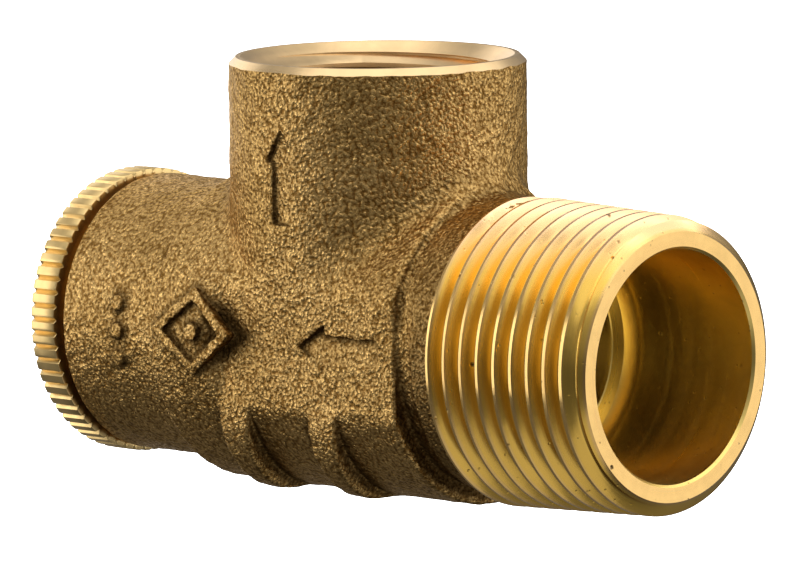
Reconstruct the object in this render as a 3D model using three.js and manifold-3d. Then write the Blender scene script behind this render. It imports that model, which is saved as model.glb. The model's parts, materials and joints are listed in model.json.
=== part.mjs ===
// Angle pressure relief valve: tapered male inlet on the run, tapered female outlet on the branch, and a
// spring-loaded disc set by a knurled adjusting cap.
// Millimetres. Shapes are drawn with X along the run, Z up the outlet and zero where the two axes meet;
// the last group shifts them so that the part's origin is the centre of the inlet's end face.
import * as THREE from 'three';
import { mergeVertices } from 'three/addons/utils/BufferGeometryUtils.js';
import Module from 'manifold-3d';

const wasm = await Module();
wasm.setup();

// ---- Driving dimensions ----
const SEGMENTS = 36;                 // facets round every turned shape, all in phase
const PIPE_PITCH = 25.4 / 14;        // 14 threads per inch on both pipe threads
const PIPE_TAPER = 1 / 32;           // radius lost per millimetre
const THREAD_DEPTH = 1.4;

const INLET_FACE_X = 33.73;
const INLET_BORE_R = 9.9;
const INLET_CREST_R = 13.2;          // at the thread's first crest
const INLET_CREST_X = 17.32;
const INLET_TURNS = 9;
const ORIFICE_R = 8.0;
const ORIFICE_END_X = 18.9;

const SEAT_X = 9.8;                  // face of the raised seat lip
const SEAT_LIP_R = 8.7;
const SEAT_FLOOR_X = 10.8;
const CHAMBER_R = 10.3;

const BARREL_R = 13.4;
const BARREL_LEFT_X = -14.5;
const BARREL_RIGHT_X = 13.1;
const GROOVE_R = 11.9;
const NECK_R = 12.3;
const NECK_X = 15.0;
const NOSE_R = 12.06;
const NOSE_END_X = -26.4;

const FLAT_HALF_WIDTH = 12.4;        // wrench flats across Y
const FLAT_LEFT_X = -7.5;
const RIB_HALF_HEIGHT = 13.3;
const RIB_CORNER_R = 7.8;
const RIBS = [[-7.5, -3.8], [2.85, 6.35]];
const RIB_TOP_Z = -4.8;

const OUTLET_R = 12.75;
const OUTLET_CAST_Z = 23.57;
const OUTLET_RIM_Z = 24.17;
const OUTLET_LAND = [11.75, 12.17];  // inner and outer radius of the rim's flat land
const OUTLET_MOUTH_R = 9.57;
const OUTLET_MOUTH_Z = 23.4;
const OUTLET_MINOR_R = 9.35;
const OUTLET_TURNS = 7;
const PASSAGE_R = 8.5;

const CAP_FLANGE_R = 12.45;
const CAP_FLANGE = [-29.8, -27.3];
const CAP_RIDGES = 64;
const CAP_RIDGE_DEPTH = 0.35;
const CAP_PLUG_R = 9.95;
const CAP_PLUG_END_X = -16.65;
const CAP_HOLLOW_R = 7.0;
const CAP_HOLLOW_END_X = -26.4;
const CAP_THREAD_PITCH = 1.27;
const CAP_THREAD = [-26.0, -20.6];
const CAP_THREAD_CREST_R = 10.2;
const CAP_SLOT = [1.6, 1.1];         // width and depth of the coin slot
const O_RING_X = -18.6;
const O_RING_WIRE_R = 0.88;
const O_RING_MEAN_R = 9.35;
const O_RING_GROOVE = [2.0, 8.4];    // width and floor radius

const STEM_R = 2.5;
const STEM = [-21.8, 3.3];
const CLIP_X = -20.5;
const CLIP_THICKNESS = 0.6;
const CLIP_R = 4.3;
const CLIP_LUG_R = 1.98;
const CLIP_LUG_WIDTH = 1.2;
const STEM_GROOVE_R = 1.9;

const SPRING_WIRE_R = 0.9;
const SPRING_MEAN_R = 6.5;
const SPRING = [-13.5, 3.0];         // outer ends of the closed coils
const SPRING_TURNS = 5.5;
const CLOSED_PITCH = 1.9;            // pitch of the end turns
const SPRING_STEPS_PER_TURN = 14;

const HOLDER_R = 9.75;
const HOLDER = [4.3, 9.0];
const HOLDER_POCKET_R = 9.2;
const HOLDER_POCKET_X = 7.1;
const HUB_R = 5.3;
const HUB_END_X = -2.0;
const DISC_R = 9.1;
const DISC = [7.15, 9.7];
const SCREW_R = 1.95;
const SCREW_END_X = 4.1;
const SCREW_HEAD = [10.85, 12.9];
const SCREW_HEAD_R = 3.4;
const WASHER = [9.75, 10.8];
const WASHER_R = 4.8;
const HOLE_R = 2.1;                  // clearance hole for the screw

const STEP = [3.05, 4.25];
const STEP_R = [5.45, 8.4];

const BUTTON = [-15.35, -13.55];
const BUTTON_R = 9.3;
const BUTTON_NOSE_X = -11.0;
const BUSHING_R = 3.2;
const BUSHING_BORE_R = 2.58;
const BUSHING_FLANGE_R = 4.6;
const BUSHING_FLANGE_X = -16.2;
const THRUST = [-16.6, -15.4];
const THRUST_R = [5.0, 9.3];

const CLEAR = 1;                     // how far a cutting shape runs past what it cuts

// ---- Shape helpers ----

// Turned solid along X from [x, radius] points, outside run towards +X.
function turnedX(points) {
  const profile = points.map(([x, radius]) => new THREE.Vector2(radius, x));
  return new THREE.LatheGeometry(profile, SEGMENTS).rotateZ(-Math.PI / 2);
}

// Turned solid along Z from [z, radius] points, outside run towards +Z.
function turnedZ(points) {
  const profile = points.map(([z, radius]) => new THREE.Vector2(radius, z));
  return new THREE.LatheGeometry(profile, SEGMENTS).rotateX(Math.PI / 2);
}

// Plain cylinder along X.
function rodX(start, end, radius) {
  return turnedX([[start, 0], [start, radius], [end, radius], [end, 0]]);
}

// Flat ring along X.
function ringX(start, end, inner, outer) {
  return turnedX([[start, inner], [start, outer], [end, outer], [end, inner], [start, inner]]);
}

// Box from its lowest to its highest corner.
function block(low, high) {
  const size = high.map((value, i) => value - low[i]);
  const box = new THREE.BoxGeometry(...size);
  return box.translate(...low.map((value, i) => value + size[i] / 2));
}

function toSolid(geometry) {
  const bare = geometry.clone();
  bare.deleteAttribute('normal');
  bare.deleteAttribute('uv');
  const merged = mergeVertices(bare, 1e-4);
  const index = merged.index.array;
  const corners = [];
  for (let i = 0; i < index.length; i += 3) {
    const [a, b, c] = index.slice(i, i + 3);
    if (a !== b && b !== c && c !== a) corners.push(a, b, c);
  }
  return new wasm.Manifold(new wasm.Mesh({
    numProp: 3,
    vertProperties: merged.attributes.position.array,
    triVerts: Uint32Array.from(corners),
  }));
}

function toGeometry(solid) {
  const { vertProperties, triVerts } = solid.getMesh();
  const geometry = new THREE.BufferGeometry();
  geometry.setAttribute('position', new THREE.BufferAttribute(vertProperties, 3));
  geometry.setIndex(new THREE.BufferAttribute(triVerts, 1));
  return geometry;
}

// Joins the first list of geometries and cuts the second list from the result.
function joinAndCut(added, removed = []) {
  let solid = toSolid(added[0]);
  for (const geometry of added.slice(1)) solid = solid.add(toSolid(geometry));
  for (const geometry of removed) solid = solid.subtract(toSolid(geometry));
  return toGeometry(solid);
}

// Sharp ridges standing on a line of crests: [along, radius] points from the first crest to the last.
function ridgePoints(first, turns, pitch, crestR, taper, depth) {
  const points = [];
  for (let turn = 0; turn < turns; turn++) {
    const crest = first + turn * pitch;
    points.push([crest, crestR - turn * pitch * taper]);
    const root = crest + pitch / 2;
    if (turn < turns - 1) points.push([root, crestR - (turn + 0.5) * pitch * taper - depth]);
  }
  return points;
}

function piece(name, geometry, color, roughness, metalness) {
  const material = new THREE.MeshStandardMaterial({ color, roughness, metalness });
  const mesh = new THREE.Mesh(geometry, material);
  mesh.name = name;
  return mesh;
}

const CAST_BRONZE = [0x8a6a3c, 0.55, 0.9];
const BRASS = [0xd2a94e, 0.25, 1.0];
const STAINLESS = [0xb9bcc0, 0.25, 1.0];
const RUBBER = [0x1b1b1d, 0.8, 0.0];
const PTFE = [0xf2f1ec, 0.5, 0.0];
const NYLON = [0xe6dfcf, 0.5, 0.0];

// ---- Valve body ----

// Cast run with its nose, barrel, groove and neck, and the tapered male thread cut on the inlet end.
function runOutside() {
  const thread = ridgePoints(INLET_CREST_X, INLET_TURNS, PIPE_PITCH, INLET_CREST_R, PIPE_TAPER, THREAD_DEPTH);
  return turnedX([
    [NOSE_END_X, 0],
    [NOSE_END_X, NOSE_R - 0.4],
    [NOSE_END_X + 0.4, NOSE_R],
    [BARREL_LEFT_X, NOSE_R],
    [BARREL_LEFT_X + 0.3, BARREL_R],
    [BARREL_RIGHT_X, BARREL_R],
    [BARREL_RIGHT_X + 0.4, GROOVE_R],
    [NECK_X - 0.3, GROOVE_R],
    [NECK_X, NECK_R],
    [INLET_CREST_X - 0.5, NECK_R],
    ...thread,
    [INLET_FACE_X - 1.0, 12.5],
    [INLET_FACE_X, 11.37],
    [INLET_FACE_X, 0],
  ]);
}

// Section of a corner rib: a rectangle with well rounded corners, drawn in Y and Z and extruded along X.
function ribSection(start, end) {
  const y = FLAT_HALF_WIDTH;
  const z = RIB_HALF_HEIGHT;
  const r = RIB_CORNER_R;
  const outline = new THREE.Shape();
  outline.absarc(-z + r, y - r, r, Math.PI, Math.PI / 2, true);
  outline.lineTo(RIB_TOP_Z, y);
  outline.lineTo(RIB_TOP_Z, -y);
  outline.absarc(-z + r, -y + r, r, -Math.PI / 2, -Math.PI, true);
  const bar = new THREE.ExtrudeGeometry(outline, { depth: end - start, bevelEnabled: false, curveSegments: 8 });
  // The outline's first coordinate becomes Z and the depth becomes X.
  const turn = new THREE.Matrix4().makeBasis(
    new THREE.Vector3(0, 0, 1), new THREE.Vector3(0, 1, 0), new THREE.Vector3(-1, 0, 0));
  return bar.applyMatrix4(turn).translate(end, 0, 0);
}

// Outlet boss with its bevelled rim.
function outletOutside() {
  return turnedZ([
    [0, 0],
    [0, OUTLET_R],
    [OUTLET_CAST_Z, OUTLET_R],
    [OUTLET_RIM_Z, OUTLET_LAND[1]],
    [OUTLET_RIM_Z, 0],
  ]);
}

// Everything cut along the run: spring chamber up to the seat lip, orifice and inlet bore.
function runBores() {
  const chamber = turnedX([
    [NOSE_END_X - CLEAR, 0],
    [NOSE_END_X - CLEAR, CHAMBER_R],
    [SEAT_FLOOR_X, CHAMBER_R],
    [SEAT_FLOOR_X, SEAT_LIP_R + 0.3],
    [SEAT_X, SEAT_LIP_R],
    [SEAT_X, 0],
  ]);
  const orifice = rodX(SEAT_X - CLEAR, ORIFICE_END_X + CLEAR, ORIFICE_R);
  const inlet = rodX(ORIFICE_END_X, INLET_FACE_X + CLEAR, INLET_BORE_R);
  return [chamber, orifice, inlet];
}

// Everything cut down the outlet: countersunk mouth, tapered female thread and the passage to the chamber.
function outletBore() {
  const length = (OUTLET_TURNS - 1) * PIPE_PITCH;
  const first = OUTLET_MOUTH_Z - 0.5 - length;
  const minor = OUTLET_MINOR_R - length * PIPE_TAPER;
  const thread = ridgePoints(first, OUTLET_TURNS, PIPE_PITCH, minor + THREAD_DEPTH - 0.2, -PIPE_TAPER, THREAD_DEPTH - 0.2);
  return turnedZ([
    [0, 0],
    [0, PASSAGE_R],
    [first - 0.6, PASSAGE_R],
    ...thread,
    [OUTLET_MOUTH_Z, OUTLET_MOUTH_R],
    [OUTLET_RIM_Z, OUTLET_LAND[0]],
    [OUTLET_RIM_Z + CLEAR, OUTLET_LAND[0]],
    [OUTLET_RIM_Z + CLEAR, 0],
  ]);
}

function valveBody() {
  const flats = [-1, 1].map((side) => {
    const near = side * FLAT_HALF_WIDTH;
    const far = side * (BARREL_R + CLEAR);
    return block(
      [FLAT_LEFT_X, Math.min(near, far), -BARREL_R / 2],
      [BARREL_RIGHT_X + CLEAR, Math.max(near, far), BARREL_R / 2]);
  });
  const ribs = RIBS.map(([start, end]) => ribSection(start, end));
  const geometry = joinAndCut(
    [runOutside(), outletOutside(), ...ribs],
    [...flats, ...runBores(), outletBore()]);
  return piece('valve_body', geometry, ...CAST_BRONZE);
}

// ---- Adjusting cap ----

// Straight-knurled disc: square ridges round the rim.
function knurledDisc() {
  const outline = new THREE.Shape();
  const pitch = 2 * Math.PI / CAP_RIDGES;
  const steps = [[-0.3, 0], [0.3, 0], [0.4, CAP_RIDGE_DEPTH], [0.6, CAP_RIDGE_DEPTH]];
  for (let ridge = 0; ridge < CAP_RIDGES; ridge++) {
    for (const [share, drop] of steps) {
      const angle = (ridge + share) * pitch;
      const radius = CAP_FLANGE_R - drop;
      const point = [radius * Math.cos(angle), radius * Math.sin(angle)];
      if (ridge === 0 && share === steps[0][0]) outline.moveTo(...point);
      else outline.lineTo(...point);
    }
  }
  const depth = CAP_FLANGE[1] - CAP_FLANGE[0];
  return new THREE.ExtrudeGeometry(outline, { depth, bevelEnabled: false })
    .rotateY(Math.PI / 2).translate(CAP_FLANGE[0], 0, 0);
}

function adjustingCap() {
  const turns = Math.floor((CAP_THREAD[1] - CAP_THREAD[0]) / CAP_THREAD_PITCH) + 1;
  const depth = CAP_THREAD_CREST_R - CAP_PLUG_R + 0.4;
  const thread = ridgePoints(CAP_THREAD[0], turns, CAP_THREAD_PITCH, CAP_THREAD_CREST_R, 0, depth);
  const [grooveWidth, grooveR] = O_RING_GROOVE;
  const plug = turnedX([
    [CAP_FLANGE[1] - 0.5, 0],
    [CAP_FLANGE[1] - 0.5, CAP_PLUG_R],
    [CAP_THREAD[0] - 0.5, CAP_PLUG_R - 0.3],
    ...thread,
    [CAP_THREAD[1] + 0.2, CAP_PLUG_R],
    [O_RING_X - grooveWidth / 2, CAP_PLUG_R],
    [O_RING_X - grooveWidth / 2, grooveR],
    [O_RING_X + grooveWidth / 2, grooveR],
    [O_RING_X + grooveWidth / 2, CAP_PLUG_R],
    [CAP_PLUG_END_X - 0.4, CAP_PLUG_R],
    [CAP_PLUG_END_X, CAP_PLUG_R - 0.4],
    [CAP_PLUG_END_X, 0],
  ]);
  const hollow = rodX(CAP_HOLLOW_END_X, CAP_PLUG_END_X + CLEAR, CAP_HOLLOW_R);
  const [slotWidth, slotDepth] = CAP_SLOT;
  const slot = block(
    [CAP_FLANGE[0] - CLEAR, -slotWidth / 2, -CAP_FLANGE_R - CLEAR],
    [CAP_FLANGE[0] + slotDepth, slotWidth / 2, CAP_FLANGE_R + CLEAR]);
  return piece('adjusting_cap', joinAndCut([knurledDisc(), plug], [hollow, slot]), ...BRASS);
}

// O-ring in the plug's groove.
function capORing() {
  const sides = 8;
  const section = [];
  for (let i = 0; i <= sides; i++) {
    const angle = 2 * Math.PI * (i % sides) / sides;
    section.push([
      O_RING_X + O_RING_WIRE_R * Math.sin(angle),
      O_RING_MEAN_R + O_RING_WIRE_R * Math.cos(angle),
    ]);
  }
  return piece('cap_o_ring', turnedX(section), ...RUBBER);
}

// ---- Spring button group ----

function springButton() {
  const geometry = turnedX([
    [BUTTON[0], BUSHING_R + 0.06],
    [BUTTON[0], BUTTON_R],
    [BUTTON[1], BUTTON_R],
    [BUTTON[1], HUB_R],
    [BUTTON_NOSE_X - 0.4, HUB_R],
    [BUTTON_NOSE_X, HUB_R - 0.4],
    [BUTTON_NOSE_X, BUSHING_R + 0.06],
    [BUTTON[0], BUSHING_R + 0.06],
  ]);
  return piece('spring_button', geometry, ...BRASS);
}

function stemBushing() {
  const geometry = turnedX([
    [BUSHING_FLANGE_X, BUSHING_BORE_R],
    [BUSHING_FLANGE_X, BUSHING_FLANGE_R],
    [BUTTON[0] - 0.05, BUSHING_FLANGE_R],
    [BUTTON[0] - 0.05, BUSHING_R],
    [BUTTON_NOSE_X, BUSHING_R],
    [BUTTON_NOSE_X, BUSHING_BORE_R],
    [BUSHING_FLANGE_X, BUSHING_BORE_R],
  ]);
  return piece('stem_bushing', geometry, ...PTFE);
}

function thrustWasher() {
  return piece('thrust_washer', ringX(THRUST[0], THRUST[1], THRUST_R[0], THRUST_R[1]), ...NYLON);
}

// ---- Moving disc assembly ----

function guideStem() {
  const grooveHalf = CLIP_THICKNESS / 2 + 0.08;
  const geometry = turnedX([
    [STEM[0], 0],
    [STEM[0], STEM_R - 0.4],
    [STEM[0] + 0.4, STEM_R],
    [CLIP_X - grooveHalf, STEM_R],
    [CLIP_X - grooveHalf, STEM_GROOVE_R],
    [CLIP_X + grooveHalf, STEM_GROOVE_R],
    [CLIP_X + grooveHalf, STEM_R],
    [STEM[1], STEM_R],
    [STEM[1], 0],
  ]);
  return piece('guide_stem', geometry, ...STAINLESS);
}

// E-shaped retaining clip: an open ring with three lugs that reach into the stem's groove.
function stemClip() {
  const start = CLIP_X - CLIP_THICKNESS / 2;
  const end = CLIP_X + CLIP_THICKNESS / 2;
  const lugs = [0, 1, 2].map((i) => {
    const lug = block([start, CLIP_LUG_R, -CLIP_LUG_WIDTH / 2], [end, CLIP_R - 0.5, CLIP_LUG_WIDTH / 2]);
    return lug.rotateX(i * Math.PI / 2);
  });
  const mouth = block([start - CLEAR, -CLIP_R - CLEAR, -2 * CLIP_LUG_WIDTH], [end + CLEAR, 0, 2 * CLIP_LUG_WIDTH]);
  mouth.rotateX(Math.PI / 2);
  const open = toSolid(ringX(start, end, CLIP_R - 1.2, CLIP_R)).subtract(toSolid(mouth));
  return piece('stem_clip', joinAndCut([toGeometry(open), ...lugs]), ...STAINLESS);
}

// Helix with closely wound end turns, its axis along X.
class SpringCurve extends THREE.Curve {
  getPoint(t, target = new THREE.Vector3()) {
    const turn = t * SPRING_TURNS;
    const start = SPRING[0] + SPRING_WIRE_R + 0.03;
    const end = SPRING[1] - SPRING_WIRE_R - 0.03;
    const openTurns = SPRING_TURNS - 2;
    const openPitch = (end - start - 2 * CLOSED_PITCH) / openTurns;
    const closedFirst = Math.min(turn, 1);
    const open = Math.min(Math.max(turn - 1, 0), openTurns);
    const closedLast = Math.max(turn - 1 - openTurns, 0);
    const x = start + (closedFirst + closedLast) * CLOSED_PITCH + open * openPitch;
    const angle = 2 * Math.PI * turn;
    return target.set(x, SPRING_MEAN_R * Math.cos(angle), SPRING_MEAN_R * Math.sin(angle));
  }
}

function mainSpring() {
  const section = new THREE.Shape();
  section.absarc(0, 0, SPRING_WIRE_R, 0, 2 * Math.PI, false);
  const geometry = new THREE.ExtrudeGeometry(section, {
    extrudePath: new SpringCurve(),
    steps: SPRING_TURNS * SPRING_STEPS_PER_TURN,
    curveSegments: 4,
    bevelEnabled: false,
  });
  return piece('main_spring', geometry, ...STAINLESS);
}

function springStep() {
  return piece('spring_step', ringX(STEP[0], STEP[1], STEP_R[0], STEP_R[1]), ...STAINLESS);
}

function discHolder() {
  const geometry = turnedX([
    [HUB_END_X, STEM_R + 0.06],
    [HUB_END_X, HUB_R - 0.4],
    [HUB_END_X + 0.4, HUB_R],
    [HOLDER[0], HUB_R],
    [HOLDER[0], HOLDER_R - 0.5],
    [HOLDER[0] + 0.5, HOLDER_R],
    [HOLDER[1], HOLDER_R],
    [HOLDER[1], HOLDER_POCKET_R],
    [HOLDER_POCKET_X, HOLDER_POCKET_R],
    [HOLDER_POCKET_X, HOLE_R],
    [STEM[1] + 0.3, HOLE_R],
    [STEM[1] + 0.3, STEM_R + 0.06],
    [HUB_END_X, STEM_R + 0.06],
  ]);
  return piece('disc_holder', geometry, ...BRASS);
}

function seatDisc() {
  return piece('seat_disc', ringX(DISC[0], DISC[1], HOLE_R, DISC_R), ...RUBBER);
}

function discWasher() {
  return piece('disc_washer', ringX(WASHER[0], WASHER[1], HOLE_R, WASHER_R), ...STAINLESS);
}

// Slotted pan-head screw.
function discScrew() {
  const turned = turnedX([
    [SCREW_END_X, 0],
    [SCREW_END_X, SCREW_R - 0.4],
    [SCREW_END_X + 0.4, SCREW_R],
    [SCREW_HEAD[0], SCREW_R],
    [SCREW_HEAD[0], SCREW_HEAD_R],
    [SCREW_HEAD[1] - 0.9, SCREW_HEAD_R],
    [SCREW_HEAD[1] - 0.3, SCREW_HEAD_R - 0.5],
    [SCREW_HEAD[1], SCREW_HEAD_R - 1.5],
    [SCREW_HEAD[1], 0],
  ]);
  const slot = block(
    [SCREW_HEAD[1] - 0.9, -SCREW_HEAD_R - CLEAR, -0.45],
    [SCREW_HEAD[1] + CLEAR, SCREW_HEAD_R + CLEAR, 0.45]);
  return piece('disc_screw', joinAndCut([turned], [slot]), ...STAINLESS);
}

// ---- Assembly ----
const valve = new THREE.Group();
valve.add(
  valveBody(),
  adjustingCap(), capORing(),
  springButton(), stemBushing(), thrustWasher(),
  guideStem(), stemClip(), mainSpring(), springStep(),
  discHolder(), seatDisc(), discWasher(), discScrew(),
);
valve.position.x = -INLET_FACE_X;

const group = new THREE.Group();
group.add(valve);
export default group;
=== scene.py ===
import json
import math

import bpy
import numpy as np
from mathutils import Matrix, Vector


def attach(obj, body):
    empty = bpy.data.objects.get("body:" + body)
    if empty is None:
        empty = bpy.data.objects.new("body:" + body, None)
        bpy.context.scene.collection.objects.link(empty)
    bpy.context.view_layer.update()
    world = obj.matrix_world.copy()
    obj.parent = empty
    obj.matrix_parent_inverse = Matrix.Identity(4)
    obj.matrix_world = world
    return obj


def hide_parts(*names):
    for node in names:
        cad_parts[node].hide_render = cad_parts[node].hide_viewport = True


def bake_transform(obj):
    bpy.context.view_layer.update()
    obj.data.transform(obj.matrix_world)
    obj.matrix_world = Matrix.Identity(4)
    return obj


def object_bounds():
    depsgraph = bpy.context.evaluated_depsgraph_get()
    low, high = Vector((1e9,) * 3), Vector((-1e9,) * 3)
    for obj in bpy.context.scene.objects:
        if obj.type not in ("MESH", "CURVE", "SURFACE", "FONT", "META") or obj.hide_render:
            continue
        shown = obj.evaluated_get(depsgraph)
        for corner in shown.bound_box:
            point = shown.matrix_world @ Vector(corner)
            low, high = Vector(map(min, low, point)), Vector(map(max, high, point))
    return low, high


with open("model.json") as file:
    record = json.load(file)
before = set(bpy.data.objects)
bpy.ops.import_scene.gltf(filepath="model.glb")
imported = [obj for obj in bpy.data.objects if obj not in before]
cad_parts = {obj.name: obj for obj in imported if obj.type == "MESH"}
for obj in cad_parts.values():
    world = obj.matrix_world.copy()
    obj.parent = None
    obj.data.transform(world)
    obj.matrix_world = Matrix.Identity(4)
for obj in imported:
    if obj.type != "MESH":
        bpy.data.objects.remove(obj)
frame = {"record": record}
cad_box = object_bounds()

MOUNTS = {m["name"]: m for m in frame["record"]["mounts"]}
TEE_X = MOUNTS["outlet_rim"]["pos_m"][0]       # where the axes meet, in the frame, metres
MM = 0.001

# ---- Driving dimensions, millimetres ----
INLET_FACE_X = -TEE_X / MM
RIM_Z = MOUNTS["outlet_rim"]["pos_m"][2] / MM
FLAT_Y = MOUNTS["wrench_flat_back"]["pos_m"][1] / MM
PIPE_PITCH = 25.4 / 14
PIPE_TAPER = 1 / 32
CREST_X = 17.32
CREST_R = 13.2
THREAD_DEPTH = 1.15
FLANK_LEAN = math.tan(math.radians(27.5))
INLET_BORE_R = 9.9
ORIFICE_R = 8.0
ORIFICE_END_X = 19.5
SEAT_X = 9.8
SEAT_FLOOR_X = 10.8
SEAT_LIP_R = 8.7
CHAMBER_R = 10.3
BARREL_R = 13.45
BARREL = (-14.5, 13.1)
NOSE_R = 12.06
NOSE_END_X = -26.4
GROOVE_R = 11.9
NECK_R = 12.35
NECK_X = 15.0
BOSS_R = 12.76
RIM_LAND = (11.75, 12.17)
MOUTH_R = 9.4
MOUTH_DROP = 1.65
PASSAGE_R = 8.5
RIBS = ((-7.5, -3.8), (2.85, 6.35))
RIB_TOP_Z = -4.8
RIB_HALF_HEIGHT = 13.25
RIB_CORNER_R = 7.8
CAP_R = 12.45
CAP_X = (-30.1, -27.3)
CAP_RIDGES = 64
ROUND = 144                                     # facets round turned pieces
VOXEL = 0.25                                    # grid of the cast body's distance field


# ---- Meshes ----

def to_frame(points):
    moved = np.array(points, float) * MM
    moved[:, 0] += TEE_X
    return moved


def make_object(name, points, faces, *materials):
    mesh = bpy.data.meshes.new(name)
    mesh.from_pydata(to_frame(points).tolist(), [], faces)
    for material in materials:
        mesh.materials.append(material)
    mesh.validate()
    obj = bpy.data.objects.new(name, mesh)
    bpy.context.scene.collection.objects.link(obj)
    return obj


def finish_piece(obj, body, slot, *nodes, sharp_degrees=32):
    """Smooth shading with crisp corners, and the piece's place in the frame."""
    mesh = obj.data
    mesh.shade_smooth()
    mesh.set_sharp_from_angle(angle=math.radians(sharp_degrees))
    if body:
        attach(obj, body)
    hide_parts(*nodes)
    return obj


def combine(obj, tool, operation):
    """Joins the tool to the object, or cuts it away, and discards the tool."""
    modifier = obj.modifiers.new("combine", "BOOLEAN")
    modifier.object = tool
    modifier.operation = operation
    modifier.solver = "MANIFOLD"
    modifier.material_mode = "TRANSFER"
    graph = bpy.context.evaluated_depsgraph_get()
    mesh = bpy.data.meshes.new_from_object(obj.evaluated_get(graph), depsgraph=graph)
    old = obj.data
    obj.modifiers.remove(modifier)
    obj.data = mesh
    mesh.name = obj.name
    bpy.data.meshes.remove(old)
    bpy.data.objects.remove(tool)
    return obj


def eased(profile, size):
    """Rounds each corner of a profile a little, as a deburred edge is."""
    closed = profile[0] == profile[-1]
    points = [np.array(p, float) for p in (profile[:-1] if closed else profile)]
    count = len(points)
    result = []
    for i, here in enumerate(points):
        if not closed and i in (0, count - 1):
            result.append(tuple(here))
            continue
        before, after = points[i - 1], points[(i + 1) % count]
        back, on = before - here, after - here
        turn = abs(np.dot(back, on) / (np.linalg.norm(back) * np.linalg.norm(on)))
        reach = min(size, 0.35 * np.linalg.norm(back), 0.35 * np.linalg.norm(on))
        if turn > 0.97 or reach < 1e-3:
            result.append(tuple(here))
            continue
        start = here + back / np.linalg.norm(back) * reach
        end = here + on / np.linalg.norm(on) * reach
        for share in (0, 0.5, 1):
            bow = here * 2 * share * (1 - share) + start * (1 - share) ** 2 + end * share ** 2
            result.append(tuple(bow))
    if closed:
        result.append(result[0])
    return result


def turned(profile, segments=ROUND):
    """Points and faces of a solid turned about X from (along, radius) points, outside run towards +X."""
    closed = profile[0] == profile[-1]
    rings = profile[:-1] if closed else profile
    points, starts = [], []
    for along, radius in rings:
        starts.append(len(points))
        if radius == 0:
            points.append((along, 0, 0))
            continue
        for i in range(segments):
            angle = 2 * math.pi * i / segments
            points.append((along, radius * math.cos(angle), radius * math.sin(angle)))
    faces = []
    pairs = list(zip(range(len(rings)), range(1, len(rings))))
    if closed:
        pairs.append((len(rings) - 1, 0))
    for a, b in pairs:
        low, high = starts[a], starts[b]
        for i in range(segments):
            j = (i + 1) % segments
            if rings[a][1] == 0 and rings[b][1] == 0:
                continue
            if rings[a][1] == 0:
                faces.append((low, high + j, high + i))
            elif rings[b][1] == 0:
                faces.append((low + i, low + j, high))
            else:
                faces.append((low + i, low + j, high + j, high + i))
    return points, faces


def upright(points):
    """Turns a shape drawn along X so that it stands along Z."""
    return [(y, z, x) for x, y, z in points]


def thread_ridge(start, end, pitch, crest_radius, depth, segments=ROUND, flat=0.09):
    """A helical ridge with a narrow flat crest and a rounded root, as a closed solid along X."""
    turns = int(math.ceil((end - start) / pitch))
    lean = depth * FLANK_LEAN / pitch
    falling = [(flat / 2 + lean * share, drop) for share, drop in ((0, 0), (0.85, 0.86), (1.05, 0.97))]
    shape = falling + [(0.5, 1)] + [(1 - share, drop) for share, drop in reversed(falling)]
    width = len(shape)
    steps = turns * segments
    points = []
    for i in range(steps + segments + 1):
        angle = 2 * math.pi * i / segments
        for share, drop in shape:
            x = start + pitch * (i / segments + share - 0.5)
            radius = crest_radius(x) - depth * drop
            points.append((x, radius * math.cos(angle), radius * math.sin(angle)))

    def index(i, j):
        return (i + segments) * width if j == width else i * width + j

    faces = []
    for i in range(steps):
        for j in range(width):
            faces.append((index(i, j), index(i + 1, j), index(i + 1, j + 1), index(i, j + 1)))
    first = [index(i, 0) for i in range(segments + 1)] + [index(0, j) for j in range(width - 1, 0, -1)]
    last = [index(steps + i, 0) for i in range(segments + 1)]
    last += [index(steps, j) for j in range(width - 1, 0, -1)]
    points.append((start - 1.5 * pitch, 0, 0))
    points.append((start + pitch * (turns + 1.5), 0, 0))
    low, high = len(points) - 2, len(points) - 1
    for a, b in zip(first, first[1:] + first[:1]):
        faces.append((low, b, a))
    for a, b in zip(last, last[1:] + last[:1]):
        faces.append((high, a, b))
    used = sorted({i for face in faces for i in face})
    place = {old: new for new, old in enumerate(used)}
    return [points[i] for i in used], [tuple(place[i] for i in face) for face in faces]


# ---- Distance field of the casting ----

def smooth_min(a, b, width):
    share = np.clip(0.5 + 0.5 * (b - a) / width, 0, 1)
    return b * (1 - share) + a * share - width * share * (1 - share)


def smooth_max(a, b, width):
    return -smooth_min(-a, -b, width)


def round_bar(along, across, start, end, radius, edge):
    """Distance to a cylinder with eased ends."""
    side = across - radius + edge
    tip = np.abs(along - (start + end) / 2) - (end - start) / 2 + edge
    outside = np.hypot(np.maximum(side, 0), np.maximum(tip, 0))
    return np.minimum(np.maximum(side, tip), 0) + outside - edge


def arrow(back, aside, head_length, head_half, stem_half, length):
    """Flat distance to an arrow. back runs from its tip along its stem, aside runs across it."""
    slope = head_half / head_length
    head = np.maximum((np.abs(aside) - back * slope) / math.hypot(1, slope), back - head_length)
    stem = np.maximum(np.abs(aside) - stem_half, np.maximum(back - length, head_length / 2 - back))
    return np.minimum(head, stem)


def rib(x, y, z, start, end):
    """Corner rib under the wrench flats: well rounded corners, narrower towards the bottom."""
    side = np.abs(y) - FLAT_Y + RIB_CORNER_R
    down = -z - RIB_HALF_HEIGHT + RIB_CORNER_R
    outside = np.hypot(np.maximum(side, 0), np.maximum(down, 0))
    section = np.minimum(np.maximum(side, down), 0) + outside - RIB_CORNER_R
    narrowed = end - 0.2 * np.maximum(RIB_TOP_Z - z, 0)
    ends = np.maximum(start - x, x - narrowed)
    return smooth_max(smooth_max(section, ends, 0.35), z - RIB_TOP_Z, 0.6)


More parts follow.
